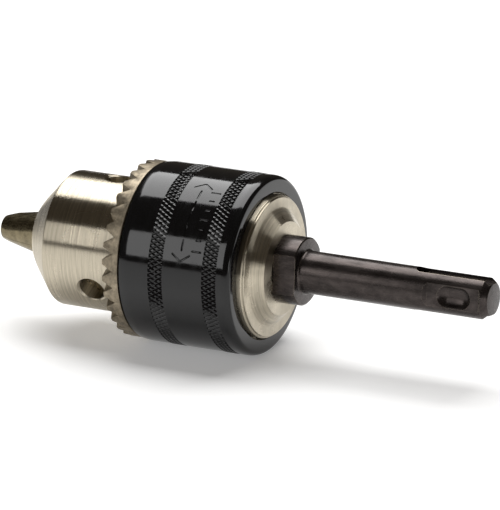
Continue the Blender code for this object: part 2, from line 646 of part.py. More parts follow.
start_scene()
PARTS = new_collection("drill_chuck")
CUTTERS = new_collection("cutters")
main()
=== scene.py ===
"""Fine model and finishes of a key-operated drill chuck on an SDS-plus adapter shank."""

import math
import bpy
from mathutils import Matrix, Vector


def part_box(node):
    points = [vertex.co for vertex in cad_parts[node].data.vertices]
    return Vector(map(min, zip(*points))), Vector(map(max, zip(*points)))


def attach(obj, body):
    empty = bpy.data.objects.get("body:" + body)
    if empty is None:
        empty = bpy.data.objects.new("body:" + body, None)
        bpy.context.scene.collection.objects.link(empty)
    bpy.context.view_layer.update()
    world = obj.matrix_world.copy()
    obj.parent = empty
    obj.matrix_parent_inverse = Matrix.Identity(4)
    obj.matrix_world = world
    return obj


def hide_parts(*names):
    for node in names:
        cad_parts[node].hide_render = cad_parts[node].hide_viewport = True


bl_info = {
    "name": "Drill Chuck Finisher",
    "version": (1, 0, 0),
    "blender": (4, 5, 0),
    "location": "3D View > Sidebar > Chuck",
    "description": "Turns, mills, knurls and finishes the pieces of a three-jaw drill chuck",
    "category": "Object",
}

import bpy
from mathutils import Matrix, Vector

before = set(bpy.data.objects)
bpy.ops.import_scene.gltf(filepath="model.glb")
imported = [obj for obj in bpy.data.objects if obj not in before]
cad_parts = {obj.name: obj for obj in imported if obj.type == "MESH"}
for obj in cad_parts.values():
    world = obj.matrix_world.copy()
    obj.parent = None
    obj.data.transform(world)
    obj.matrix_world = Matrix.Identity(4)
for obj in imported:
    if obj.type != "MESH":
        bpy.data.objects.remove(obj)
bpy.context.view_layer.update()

MM = 0.001
GAP = 0.3 * MM


def low(node):
    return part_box(node)[0]


def high(node):
    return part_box(node)[1]


# Planes across the chuck axis, from the frame. The axis is X and the shank points along +X.
SHELL_FRONT = low("grip_shell").x
SHELL_REAR = high("grip_shell").x
NOSE_FRONT = low("chuck_body").x
HUB_REAR = high("chuck_body").x
JAW_TIP = low("jaw_1").x
COLLAR_FRONT = HUB_REAR + 0.05 * MM
ADAPTER_FRONT = low("sds_adapter").x
SHANK_END = high("sds_adapter").x
NUT_FRONT = low("nut_half_1").x
RACE_REAR = high("bearing_race").x

# Angles about the chuck axis, from straight up, by the right-hand rule about +X
KEY_HOLE_TURN = math.radians(-2.0)
JAW_TURNS = [KEY_HOLE_TURN + math.radians(60.0 + 120.0 * k) for k in range(3)]
ADAPTER_TURN = math.radians(-5.0)
TOOTH_TURN = math.radians(-0.4)
JAW_ANGLE = math.radians(14.5)

ROUND_STEPS = 128
KNURL_COUNT = 116
TO_X = Matrix.Rotation(math.pi / 2, 4, "Y")


# ---------------------------------------------------------------- user values


def length(name, value, text):
    return bpy.props.FloatProperty(
        name=name, description=text, default=value, min=0.0, unit="LENGTH", precision=5
    )


def colour(name, value, text):
    return bpy.props.FloatVectorProperty(
        name=name, description=text, default=value, size=3, min=0.0, max=1.0, subtype="COLOR"
    )


def linear(code):
    """Linear colour of an sRGB hex code such as c8beac."""
    parts = [int(code[i:i + 2], 16) / 255 for i in (0, 2, 4)]
    return tuple(p / 12.92 if p <= 0.04045 else ((p + 0.055) / 1.055) ** 2.4 for p in parts)


class ChuckSizes(bpy.types.PropertyGroup):
    nose_radius: length("Nose radius", 16.02 * MM, "Radius of the body's nose cylinder")
    nose_bore: length("Nose bore radius", 6.8 * MM, "Radius of the opening for drill bits")
    key_hole: length("Key hole radius", 3.2 * MM, "Radius of the holes for the key's pilot")
    ring_radius: length("Toothed ring radius", high("toothed_ring").z, "Outer radius of the toothed ring")
    tooth_depth: length("Tooth depth", 2.55 * MM, "Depth of a tooth gap at the outer edge")
    grip_radius: length("Grip radius", high("grip_shell").z, "Outer radius of the grip shell")
    knurl_depth: length("Knurl depth", 0.20 * MM, "Height of the knurl's diamonds")
    jaw_radius: length("Jaw radius", 4.25 * MM, "Radius of a jaw's rod")
    collar_radius: length("Collar radius", 8.0 * MM, "Radius of the spanner collar")
    shank_radius: length("Shank radius", 5.0 * MM, "Radius of the SDS-plus shank")
    ball_radius: length("Ball radius", 0.8 * MM, "Radius of the bearing balls")


class ChuckFinishes(bpy.types.PropertyGroup):
    nickel: colour("Nickel", linear("c2b9a6"), "Satin nickel plating on the turned body")
    tooth_steel: colour("Tooth steel", linear("9a8f7c"), "Bare hardened steel of the toothed ring")
    jaw_steel: colour("Jaw steel", linear("827860"), "Hardened and tempered jaw steel")
    black: colour("Black oxide", linear("0b0b0c"), "Glossy black oxide of the grip shell")
    brown: colour("Brown oxide", linear("403a38"), "Oiled oxide finish of the adapter")
    brass: colour("Brass", linear("c39a4a"), "Stamped brass of the ball cage")
    floor: colour("Floor", linear("f4f4f4"), "Pale floor under the chuck")


def sizes():
    return bpy.context.scene.chuck_sizes


def finishes():
    return bpy.context.scene.chuck_finishes


# ---------------------------------------------------------------- bench tools


def clear_bench():
    """Leave edit mode and deselect everything, so an operator acts on the new piece alone."""
    if bpy.context.object is not None and bpy.context.object.mode != "OBJECT":
        bpy.ops.object.mode_set(mode="OBJECT")
    bpy.ops.object.select_all(action="DESELECT")


def pick(obj):
    clear_bench()
    obj.select_set(True)
    bpy.context.view_layer.objects.active = obj


def settle(obj, matrix=None):
    """Put the object's place into its mesh, so the finished object sits at the origin."""
    pick(obj)
    if matrix is not None:
        obj.matrix_world = matrix @ obj.matrix_world
    bpy.ops.object.transform_apply(location=True, rotation=True, scale=True)
    return obj


def select_faces(obj, wanted):
    """Enter edit mode with only those faces selected that the test accepts."""
    select_parts(obj, obj.data.polygons, wanted, (False, False, True))


def select_edges(obj, wanted):
    """Enter edit mode with only those edges selected that the test accepts."""
    select_parts(obj, obj.data.edges, wanted, (False, True, False))


def select_parts(obj, parts, wanted, mode):
    pick(obj)
    mesh = obj.data
    for item in (mesh.vertices, mesh.edges, mesh.polygons):
        item.foreach_set("select", [False] * len(item))
    bpy.context.tool_settings.mesh_select_mode = mode
    parts.foreach_set("select", [bool(wanted(part)) for part in parts])
    bpy.ops.object.mode_set(mode="EDIT")


def smooth(obj, degrees=28.0):
    pick(obj)
    bpy.ops.object.shade_smooth_by_angle(angle=math.radians(degrees))


def arc(start, corner, end, steps=8):
    """Points of a rounded corner, from start towards corner and on to end."""
    points = []
    for k in range(steps + 1):
        t = k / steps
        weights = ((1 - t) ** 2, 2 * t * (1 - t), t * t)
        points.append(tuple(sum(w * p[i] for w, p in zip(weights, (start, corner, end))) for i in (0, 1)))
    return points


def lathe(name, profile, steps=ROUND_STEPS, closed=True):
    """Turn a profile of (x, radius) points about the chuck axis."""
    clear_bench()
    x, r = profile[0]
    bpy.ops.mesh.primitive_plane_add(size=MM, location=(x, 0.0, r))
    obj = bpy.context.object
    obj.name = name
    obj.data.name = name
    settle(obj)
    bpy.ops.object.mode_set(mode="EDIT")
    bpy.ops.mesh.select_mode(type="VERT")
    bpy.ops.mesh.select_all(action="SELECT")
    bpy.ops.mesh.merge(type="CENTER")
    for (x0, r0), (x1, r1) in zip(profile, profile[1:]):
        bpy.ops.mesh.extrude_region_move(TRANSFORM_OT_translate={"value": (x1 - x0, 0.0, r1 - r0)})
    bpy.ops.object.mode_set(mode="OBJECT")
    if closed:
        edges = obj.data.edges
        for vert in obj.data.vertices:
            vert.select = len([edge for edge in edges if vert.index in edge.vertices]) == 1
        bpy.ops.object.mode_set(mode="EDIT")
        bpy.ops.mesh.edge_face_add()
    bpy.ops.object.mode_set(mode="EDIT")
    bpy.ops.mesh.select_all(action="SELECT")
    bpy.ops.mesh.spin(steps=steps, angle=2 * math.pi, center=(0, 0, 0), axis=(1, 0, 0))
    bpy.ops.mesh.select_all(action="SELECT")
    bpy.ops.mesh.remove_doubles(threshold=0.002 * MM)
    bpy.ops.mesh.normals_make_consistent(inside=False)
    bpy.ops.object.mode_set(mode="OBJECT")
    return obj


def rod(name, radius, start, end, matrix, steps=64):
    """A round bar along its own Z from start to end, then placed by the matrix."""
    clear_bench()
    bpy.ops.mesh.primitive_cylinder_add(
        vertices=steps, radius=radius, depth=end - start, location=(0.0, 0.0, (start + end) / 2)
    )
    obj = bpy.context.object
    obj.name = name
    return settle(obj, matrix)


def block(name, size, matrix):
    clear_bench()
    bpy.ops.mesh.primitive_cube_add(size=1.0)
    obj = bpy.context.object
    obj.name = name
    return settle(obj, matrix @ Matrix.Diagonal((*size, 1.0)))


def machine(obj, cutter, operation="DIFFERENCE"):
    """Cut the piece with a cutter, which is used up."""
    pick(obj)
    boolean = obj.modifiers.new("cut", "BOOLEAN")
    boolean.solver = "EXACT"
    boolean.operation = operation
    boolean.object = cutter
    bpy.ops.object.modifier_apply(modifier=boolean.name)
    bpy.data.objects.remove(cutter)


def break_edges(obj, width, segments=2, degrees=30.0):
    pick(obj)
    bevel = obj.modifiers.new("edges", "BEVEL")
    bevel.width = width
    bevel.segments = segments
    bevel.limit_method = "ANGLE"
    bevel.angle_limit = math.radians(degrees)
    bevel.use_clamp_overlap = True
    bpy.ops.object.modifier_apply(modifier=bevel.name)


def repeat_round(obj, count):
    """Repeat all of a mesh round the chuck axis, count times in all."""
    select_faces(obj, lambda face: True)
    share = (count - 1) / count
    bpy.ops.mesh.spin(
        steps=count - 1, angle=2 * math.pi * share, dupli=True, center=(0, 0, 0), axis=(1, 0, 0)
    )
    bpy.ops.mesh.select_all(action="SELECT")
    bpy.ops.mesh.normals_make_consistent(inside=False)
    bpy.ops.object.mode_set(mode="OBJECT")


def about_axis(turn):
    return Matrix.Rotation(turn, 4, "X")


def shift(x=0.0, y=0.0, z=0.0):
    return Matrix.Translation((x, y, z))


def hand_over(obj, body, nodes, finish):
    """Give a finished piece its finish, its body and the CAD nodes that it stands for."""
    clear_bench()
    obj.data.materials.clear()
    obj.data.materials.append(finish)
    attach(obj, body)
    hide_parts(*nodes)


# ---------------------------------------------------------------- finishes


def add_node(tree, kind, inputs=None, links=None, **settings):
    """Add a node with its settings, its input values and its links from other nodes' outputs."""
    new = tree.nodes.new(kind)
    for key, value in settings.items():
        setattr(new, key, value)
    for key, value in (inputs or {}).items():
        new.inputs[key].default_value = value
    for key, source in (links or {}).items():
        tree.links.new(source, new.inputs[key])
    return new


def start_finish(name, base, roughness, metallic):
    mat = bpy.data.materials.new(name)
    mat.use_nodes = True
    tree = mat.node_tree
    shader = tree.nodes["Principled BSDF"]
    shader.inputs["Base Color"].default_value = (*base, 1.0)
    shader.inputs["Roughness"].default_value = roughness
    shader.inputs["Metallic"].default_value = metallic
    place = add_node(tree, "ShaderNodeTexCoord").outputs["Object"]
    return mat, tree, shader, place


def grain(tree, place, stretch, scale, detail=3.0, roughness=0.6):
    """Noise on stretched object coordinates; a stretch of 0 along an axis draws lines along it."""
    mapping = add_node(tree, "ShaderNodeMapping", {"Scale": stretch}, {"Vector": place})
    noise = add_node(
        tree, "ShaderNodeTexNoise", {"Scale": scale, "Detail": detail, "Roughness": roughness},
        {"Vector": mapping.outputs["Vector"]},
    )
    return noise.outputs["Fac"]


def ramp(tree, source, low_value, high_value, low_colour, high_colour):
    """Two-colour ramp between two levels of the source."""
    new = add_node(tree, "ShaderNodeValToRGB", None, {"Fac": source})
    stops = new.color_ramp.elements
    stops[0].position, stops[1].position = low_value, high_value
    stops[0].color, stops[1].color = (*low_colour, 1.0), (*high_colour, 1.0)
    return new.outputs["Color"]


def spread(tree, source, low_value, high_value, start=0.3, end=0.7):
    new = add_node(
        tree, "ShaderNodeMapRange",
        {"From Min": start, "From Max": end, "To Min": low_value, "To Max": high_value}, {"Value": source},
    )
    return new.outputs["Result"]


def bump(tree, shader, height, distance, strength=1.0):
    new = add_node(
        tree, "ShaderNodeBump", {"Distance": distance, "Strength": strength}, {"Height": height}
    )
    tree.links.new(new.outputs["Normal"], shader.inputs["Normal"])
    return new


def tint(colour_value, factor):
    return tuple(min(1.0, c * factor) for c in colour_value)


def turned_nickel_steel():
    """Satin nickel on turned steel: warm white metal whose feed lines, drawn coarse enough to show,
    keep reflections sharp round the axis and smear them along it."""
    base = finishes().nickel
    mat, tree, shader, place = start_finish("turned_nickel_steel", base, 0.28, 1.0)
    feed = grain(tree, place, (1.0, 0.02, 0.02), 1.0 / (0.3 * MM), 4.0, 0.7)
    cloud = grain(tree, place, (1.0, 1.0, 1.0), 1.0 / (9.0 * MM), 3.0)
    shade = ramp(tree, feed, 0.32, 0.68, tint(base, 0.66), tint(base, 1.14))
    tree.links.new(shade, shader.inputs["Base Color"])
    tree.links.new(spread(tree, cloud, 0.25, 0.32), shader.inputs["Roughness"])
    smear_across_feed_lines(tree, shader, 1.0)
    bump(tree, shader, feed, 0.03 * MM, 0.8)
    return mat


def smear_across_feed_lines(tree, shader, amount):
    """Spread reflections along the axis on a turned wall, and outwards from it on a faced end."""
    lines = add_node(tree, "ShaderNodeTangent", direction_type="RADIAL", axis="X")
    tree.links.new(lines.outputs["Tangent"], shader.inputs["Tangent"])
    shader.inputs["Anisotropic"].default_value = amount
    shader.inputs["Anisotropic Rotation"].default_value = 0.25


def milled_tooth_steel():
    """Bare milled and hardened steel: greyer and rougher, with cutter streaks and old oil stains."""
    base = finishes().tooth_steel
    mat, tree, shader, place = start_finish("milled_tooth_steel", base, 0.48, 1.0)
    streak = grain(tree, place, (1.0, 0.25, 0.25), 1.0 / (0.5 * MM), 4.0, 0.65)
    stain = grain(tree, place, (1.0, 1.0, 1.0), 1.0 / (1.8 * MM), 5.0, 0.75)
    shade = ramp(tree, stain, 0.32, 0.68, tint(base, 0.4), tint(base, 1.15))
    tree.links.new(shade, shader.inputs["Base Color"])
    tree.links.new(spread(tree, streak, 0.38, 0.58), shader.inputs["Roughness"])
    bump(tree, shader, streak, 0.014 * MM, 0.7)
    return mat


def tempered_jaw_steel():
    """Ground and tempered jaw steel: straw-brown tone with grinding lines along the jaw."""
    base = finishes().jaw_steel
    mat, tree, shader, place = start_finish("tempered_jaw_steel", base, 0.3, 1.0)
    lines = grain(tree, place, (0.08, 1.0, 1.0), 1.0 / (0.5 * MM), 4.0, 0.6)
    stain = grain(tree, place, (1.0, 1.0, 1.0), 1.0 / (2.0 * MM), 5.0, 0.65)
    shade = ramp(tree, stain, 0.32, 0.68, tint(base, 0.6), tint(base, 1.15))
    tree.links.new(shade, shader.inputs["Base Color"])
    tree.links.new(spread(tree, lines, 0.2, 0.36), shader.inputs["Roughness"])
    bump(tree, shader, lines, 0.012 * MM, 0.7)
    return mat


def gloss_black_oxide():
    """Oiled black oxide on a polished sleeve: near-black and glossy, with faint polishing haze."""
    base = finishes().black
    mat, tree, shader, place = start_finish("gloss_black_oxide", base, 0.08, 0.0)
    shader.inputs["IOR"].default_value = 1.45
    haze = grain(tree, place, (1.0, 0.3, 0.3), 1.0 / (1.4 * MM), 4.0, 0.6)
    speck = grain(tree, place, (1.0, 1.0, 1.0), 1.0 / (0.5 * MM), 2.0, 0.5)
    shade = ramp(tree, haze, 0.3, 0.7, tint(base, 0.8), tint(base, 1.3))
    tree.links.new(shade, shader.inputs["Base Color"])
    tree.links.new(spread(tree, haze, 0.06, 0.12), shader.inputs["Roughness"])
    bump(tree, shader, speck, 0.003 * MM, 0.5)
    return mat


def brown_oxide_forging():
    """Oiled oxide on a forged shank: dark brown metal with drawn streaks, rubbed patches, and edges painted
    light, partly as worn oxide and partly as a painted edge highlight.
    """
    base = finishes().brown
    mat, tree, shader, place = start_finish("brown_oxide_forging", base, 0.27, 0.85)
    streak = grain(tree, place, (0.12, 1.0, 1.0), 1.0 / (0.9 * MM), 5.0, 0.65)
    rub = grain(tree, place, (0.5, 1.0, 1.0), 1.0 / (2.5 * MM), 5.0, 0.75)
    oxide = ramp(tree, rub, 0.3, 0.72, tint(base, 0.5), tint(base, 1.5))
    rounded = add_node(tree, "ShaderNodeBevel", {"Radius": 0.16 * MM}, samples=4)
    flat_on = add_node(tree, "ShaderNodeNewGeometry")
    edge = add_node(
        tree, "ShaderNodeVectorMath", None, {0: rounded.outputs["Normal"], 1: flat_on.outputs["Normal"]},
        operation="DOT_PRODUCT",
    )
    # Edges are painted a light colour: partly worn oxide, partly a painted highlight along every edge.
    edge_wear_and_highlight = add_node(
        tree, "ShaderNodeMix", {7: (*linear("a79c8c"), 1.0)},
        {0: spread(tree, edge.outputs["Value"], 0.0, 0.6, 0.99, 0.88), 6: oxide}, data_type="RGBA",
    )
    tree.links.new(edge_wear_and_highlight.outputs[2], shader.inputs["Base Color"])
    tree.links.new(spread(tree, streak, 0.2, 0.36), shader.inputs["Roughness"])
    bump(tree, shader, streak, 0.014 * MM, 0.7)
    return mat


def polished_bearing_steel():
    """Polished bearing steel: cool, nearly mirror bright."""
    mat, tree, shader, place = start_finish("polished_bearing_steel", linear("c9cacc"), 0.12, 1.0)
    haze = grain(tree, place, (1.0, 1.0, 1.0), 1.0 / (0.6 * MM), 3.0)
    tree.links.new(spread(tree, haze, 0.08, 0.18), shader.inputs["Roughness"])
    return mat


def stamped_brass():
    """Stamped brass sheet: yellow metal with a soft rolled grain."""
    base = finishes().brass
    mat, tree, shader, place = start_finish("stamped_brass", base, 0.3, 1.0)
    rolled = grain(tree, place, (1.0, 0.2, 1.0), 1.0 / (0.8 * MM), 4.0)
    shade = ramp(tree, rolled, 0.3, 0.7, tint(base, 0.8), tint(base, 1.1))
    tree.links.new(shade, shader.inputs["Base Color"])
    tree.links.new(spread(tree, rolled, 0.24, 0.4), shader.inputs["Roughness"])
    return mat


# ---------------------------------------------------------------- pieces


def jaw_outer_r(x):
    """Distance of a closed jaw's outer line from the axis at x."""
    return 5.7 * MM + math.tan(JAW_ANGLE) * (x - NOSE_FRONT)


def jaw_frame(turn):
    """Frame of a jaw's rod, +Z running back along it from the plane of the tip."""
    axis_r = jaw_outer_r(JAW_TIP) - sizes().jaw_radius / math.cos(JAW_ANGLE)
    tilt = Matrix.Rotation(math.pi / 2 - JAW_ANGLE, 4, "Y")
    return about_axis(turn) @ shift(x=JAW_TIP, z=axis_r) @ tilt


def make_body():
    nose_r, bore_r = sizes().nose_radius, sizes().nose_bore
    cone_end = NOSE_FRONT + 7.4 * MM
    cone_start = NOSE_FRONT + 3.0 * MM

    def cone_r(x):
        return nose_r - 1.08 * (cone_end - x)

    rear_face = HUB_REAR - 2.5 * MM
    disc_r = 16.8 * MM
    shoulder = RACE_REAR + GAP
    land_r = 19.0 * MM
    rear_land = SHELL_REAR - 1.6 * MM - GAP
    neck_front = NUT_FRONT - GAP
    thread_r = 6.5 * MM
    web_rear = ADAPTER_FRONT - GAP
    web_front = web_rear - 3.0 * MM
    outer = [
        (HUB_REAR, thread_r + 0.5 * MM), (HUB_REAR, 11.0 * MM), (HUB_REAR - 0.35 * MM, 11.42 * MM),
        (rear_face + 0.15 * MM, 13.8 * MM), (rear_face, 14.1 * MM),
        (rear_face, disc_r - 0.55 * MM), (rear_face - 0.12 * MM, disc_r - 0.4 * MM),
        (rear_face - 0.45 * MM, disc_r - 0.38 * MM), (rear_face - 0.6 * MM, disc_r - 0.1 * MM),
        (rear_face - 0.75 * MM, disc_r),
        (rear_land, disc_r), (rear_land, land_r - 0.3 * MM), (rear_land - 0.3 * MM, land_r),
        (shoulder + 0.2 * MM, land_r), (shoulder, land_r - 0.2 * MM), (shoulder, 11.3 * MM),
        (neck_front, 11.3 * MM), (neck_front, nose_r - 0.2 * MM), (neck_front - 0.2 * MM, nose_r),
    ]
    cone_edge = cone_end - 0.25 * MM
    edge = arc((cone_end + 0.3 * MM, nose_r), (cone_end, nose_r), (cone_edge, cone_r(cone_edge)), 5)
    tip_corner = (NOSE_FRONT, cone_r(NOSE_FRONT))
    front = arc((cone_start, cone_r(cone_start)), tip_corner, (NOSE_FRONT, 7.3 * MM), 10)
    bore = [
        (NOSE_FRONT + 0.3 * MM, bore_r), (web_front, bore_r), (web_front, 3.4 * MM), (web_rear, 3.4 * MM),
        (web_rear, thread_r), (HUB_REAR - 0.5 * MM, thread_r),
    ]
    body = lathe("body_turning", outer + edge + front + bore, steps=192)
    rod_end = (high("jaw_1").x - JAW_TIP) / math.cos(JAW_ANGLE) + 23.2 * MM
    for turn in JAW_TURNS:
        machine(body, rod("jaw_hole", sizes().jaw_radius + GAP, 0.0, rod_end, jaw_frame(turn)))
    hole_r = sizes().key_hole
    hole_x = SHELL_FRONT - 10.7 * MM
    mouth = [
        (18.0 * MM, 0.0), (18.0 * MM, hole_r + 2.5 * MM), (nose_r - 0.55 * MM, hole_r + 0.05 * MM),
        (nose_r - 0.9 * MM, hole_r), (nose_r - 7.0 * MM, hole_r), (nose_r - 7.8 * MM, 0.0),
    ]
    for k in range(3):
        cutter = lathe("key_drill", mouth, steps=72, closed=False)
        turn = about_axis(KEY_HOLE_TURN + k * 2 * math.pi / 3)
        settle(cutter, turn @ shift(x=hole_x) @ TO_X.inverted())
        machine(body, cutter)
    smooth(body)
    return body


def make_ring():
    ring_r = sizes().ring_radius
    bore_r = sizes().nose_radius + GAP
    key_x = SHELL_FRONT - 10.7 * MM
    tip_slope = 6.4 * MM / (20.9 * MM)
    rear = SHELL_FRONT - GAP
    spigot_rear = high("toothed_ring").x
    step = NUT_FRONT + 3.6 * MM
    profile = [
        (spigot_rear, 20.1 * MM), (rear, 20.1 * MM), (rear, ring_r - 0.1 * MM), (rear - 0.1 * MM, ring_r),
        (key_x + tip_slope * ring_r, ring_r), (key_x + tip_slope * bore_r, bore_r),
        (step, bore_r), (step, 18.9 * MM), (spigot_rear, 18.9 * MM),
    ]
    count = 32
    ring = lathe("ring_blank", profile, steps=8 * count)
    gap_half = math.pi * ring_r / count - 0.5 * MM
    growth = 1.2
    inner, outer = bore_r - 2 * MM, ring_r + 2 * MM
    shear = Matrix.Identity(4)
    shear[0][0] = sizes().tooth_depth / gap_half
    shear[0][2] = tip_slope - (growth - 1) * sizes().tooth_depth / ring_r
    shear[0][3] = key_x
    clear_bench()
    bpy.ops.mesh.primitive_cone_add(
        vertices=4, radius1=growth * gap_half * inner / ring_r, radius2=growth * gap_half * outer / ring_r,
        depth=outer - inner, location=(0.0, 0.0, (inner + outer) / 2),
    )
    cutter = settle(bpy.context.object)
    cutter.data.transform(about_axis(TOOTH_TURN) @ shear)
    repeat_round(cutter, count)
    machine(ring, cutter)
    break_edges(ring, 0.12 * MM)
    smooth(ring)
    return ring


def make_shell():
    grip_r = sizes().grip_radius
    bands = [SHELL_FRONT + start * MM for start in (7.8, 21.7)]
    width = 3.7 * MM
    margin = 0.12 * MM
    rear_corner = arc(
        (SHELL_REAR, grip_r - 1.4 * MM), (SHELL_REAR, grip_r), (SHELL_REAR - 2.25 * MM, grip_r), 12
    )
    outer = [(SHELL_REAR - 0.3 * MM, 17.1 * MM), (SHELL_REAR, 17.4 * MM)] + rear_corner
    rows = 9
    between = bands[1] - bands[0] - width - 2 * margin
    for front in reversed(bands):
        outer += [(front + offset, grip_r) for offset in (width + margin, width, 0.0, -margin)]
        if front == bands[1]:
            outer += [(front - margin - between * k / rows, grip_r) for k in range(1, rows)]
    front_edge = (SHELL_FRONT + 0.25 * MM, grip_r - 0.2 * MM)
    outer += arc((SHELL_FRONT + 2.6 * MM, grip_r), (SHELL_FRONT + 1.6 * MM, grip_r), front_edge, 6)
    outer += [(SHELL_FRONT, grip_r - 0.45 * MM)]
    seat_r, seat = 20.4 * MM, SHELL_FRONT + 3.0 * MM
    bore_r, lip = 19.3 * MM, SHELL_REAR - 1.6 * MM
    bore = [(SHELL_FRONT, seat_r), (seat, seat_r), (seat, bore_r), (lip, bore_r), (lip, 17.1 * MM)]
    shell = lathe("shell_turning", outer + bore, steps=2 * KNURL_COUNT)
    keep_slice(shell, -1.4, 1.6, fill=True)
    for side in (1, -1):
        machine(shell, knurl_grooves(bands, width, side))
    keep_slice(shell, -0.3, 0.7, fill=False)
    repeat_round(shell, KNURL_COUNT)
    select_faces(shell, lambda face: True)
    bpy.ops.mesh.remove_doubles(threshold=0.001 * MM)
    bpy.ops.mesh.quads_convert_to_tris()
    bpy.ops.mesh.normals_make_consistent(inside=False)
    bpy.ops.object.mode_set(mode="OBJECT")
    for cutter in turning_marks(bands[0] + width + between / 2 + margin):
        machine(shell, cutter)
    smooth(shell, 24.0)
    return shell


def keep_slice(obj, start, end, fill):
    """Keep the slice of a turned piece between two places round it, counted in knurl steps."""
    select_faces(obj, lambda face: True)
    for place, way in ((start, -1), (end, 1)):
        turn = place * 2 * math.pi / KNURL_COUNT
        onward = Vector((0.0, -math.cos(turn), -math.sin(turn))) * way
        bpy.ops.mesh.select_all(action="SELECT")
        bpy.ops.mesh.bisect(
            plane_co=(0, 0, 0), plane_no=onward, use_fill=fill, clear_outer=True, threshold=0.0001 * MM
        )
    bpy.ops.object.mode_set(mode="OBJECT")


def knurl_grooves(bands, width, side):
    """Cutter for one hand of the knurl's V grooves: one groove repeated round both bands."""
    grip_r, depth = sizes().grip_radius, sizes().knurl_depth
    half_width, stand = 0.34 * MM, 0.06 * MM
    helix = math.radians(30.0)
    clear_bench()
    bpy.ops.mesh.primitive_cylinder_add(vertices=3, radius=1.0, depth=width / math.cos(helix))
    groove = bpy.context.object
    groove.name = "knurl_groove"
    top_half = half_width * (depth + stand) / depth
    to_section = Matrix.Diagonal((top_half / math.sqrt(0.75), (depth + stand) / 1.5, 1.0, 1.0))
    settle(groove, to_section)
    lay = Matrix(((0, 0, 1, 0), (-1, 0, 0, 0), (0, -1, 0, 0), (0, 0, 0, 1)))
    lift = shift(z=grip_r + stand - (depth + stand) / 3)
    place = about_axis(0.3 * math.pi / KNURL_COUNT) @ shift(x=bands[0] + width / 2) @ lift
    settle(groove, place @ Matrix.Rotation(side * helix, 4, "Z") @ lay)
    inset = 0.0 if side > 0 else 0.02 * MM
    square_ends(groove, bands[0] + inset, bands[0] + width - inset)
    bpy.ops.mesh.select_all(action="SELECT")
    bpy.ops.mesh.duplicate_move(TRANSFORM_OT_translate={"value": (bands[1] - bands[0], 0.0, 0.0)})
    bpy.ops.object.mode_set(mode="OBJECT")
    repeat_round(groove, KNURL_COUNT)
    return groove


def square_ends(groove, front, rear):
    """Move a slanted groove's end vertices along it on to the band's two edges, and stay in edit mode."""
    middle = (front + rear) / 2
    verts = groove.data.vertices
    ends = {side: [v for v in verts if (v.co.x - middle) * side > 0] for side in (1, -1)}
    axis = sum((v.co for v in ends[1]), Vector()) / 3 - sum((v.co for v in ends[-1]), Vector()) / 3
    axis /= axis.x
    for side, plane in ((1, rear), (-1, front)):
        for vert in ends[side]:
            vert.co += axis * (plane - vert.co.x)
    pick(groove)
    bpy.ops.object.mode_set(mode="EDIT")


def turning_marks(middle):
    """Cutters for the engraved turning arrow: dashes round the shell, two heads and a scale of ticks."""
    cutters = []
    grip_r, deep, stroke = sizes().grip_radius, 0.22 * MM, 0.5 * MM

    def engrave(along, degrees, mark_length, slant):
        size = (mark_length, stroke, 2 * deep)
        place = about_axis(math.radians(degrees)) @ shift(x=middle + along, z=grip_r)
        cutter = block("mark", size, place @ Matrix.Rotation(math.radians(slant), 4, "Z"))
        break_edges(cutter, 0.2 * MM, 3)
        cutters.append(cutter)

    for k in range(5):
        engrave(-0.6 * MM, 30.0 + 9.0 * k, 2.9 * MM, 90.0)
    for end, slant in ((22.0, -35.0), (74.0, 35.0)):
        for side in (1, -1):
            engrave((side * 1.15 - 0.6) * MM, end, 3.0 * MM, side * slant)
    for k in range(7):
        engrave(3.2 * MM, 27.0 + 7.0 * k, 1.5 * MM if k % 3 else 2.6 * MM, 0.0)
    return cutters


def make_jaw(number):
    jaw_r = sizes().jaw_radius
    reach = (SHELL_FRONT + 1.0 * MM - JAW_TIP) / math.cos(JAW_ANGLE)
    meeting = 0.04 * MM
    jaw = rod(f"jaw_grinding_{number}", jaw_r, -2 * jaw_r, reach, jaw_frame(0.0), steps=72)
    select_faces(jaw, lambda face: True)
    for side in (1, -1):
        across = Vector((0.0, side * math.cos(math.pi / 3), -math.sin(math.pi / 3)))
        bpy.ops.mesh.select_all(action="SELECT")
        bpy.ops.mesh.bisect(plane_co=-across * meeting, plane_no=across, use_fill=True, clear_outer=True)
    bpy.ops.mesh.select_all(action="SELECT")
    bpy.ops.mesh.bisect(plane_co=(0, 0, 0.35 * MM), plane_no=(0, 0, -1), use_fill=True, clear_outer=True)
    bpy.ops.object.mode_set(mode="OBJECT")
    tip_r = jaw_outer_r(JAW_TIP)
    tip_round = 0.6 * MM
    round_x = JAW_TIP + tip_round
    open_r = 12.95 * MM
    wide_x = JAW_TIP + 5.0 * MM
    tip = arc((round_x, jaw_outer_r(round_x)), (JAW_TIP, tip_r), (JAW_TIP, tip_r - tip_round), 8)
    rear_x = SHELL_FRONT + 3 * MM
    envelope = [
        (rear_x, 0.0), (rear_x, open_r), (wide_x, open_r), (wide_x, jaw_outer_r(wide_x) + GAP), *tip,
        (JAW_TIP, 0.0),
    ]
    machine(jaw, lathe("envelope", envelope, steps=96, closed=False), "INTERSECT")
    machine(jaw, jaw_thread_cutter())
    break_edges(jaw, 0.1 * MM)
    settle(jaw, about_axis(JAW_TURNS[number - 1]))
    smooth(jaw)
    return jaw


def jaw_thread_cutter():
    """Ring with saw-tooth ridges inside, which cuts the jaw's part of the nut's thread."""
    pitch, depth = 2.0 * MM, 0.7 * MM
    front = SHELL_FRONT + 1.0 * MM - 26.0 * MM
    count = 12
    rear = front + (count + 0.3) * pitch
    far_r = 16.0 * MM
    profile = [(rear, far_r), (front, far_r)]
    for k in range(count):
        for offset, sink in ((0.1, 0.0), (0.25, depth), (0.6, depth), (0.95, 0.0)):
            x = front + (k + offset) * pitch
            profile.append((x, jaw_outer_r(x) + 0.1 * MM - sink - (0.1 * MM if sink else 0.0)))
    profile.append((rear, jaw_outer_r(rear) + 0.1 * MM))
    return lathe("thread_cutter", profile, steps=96)


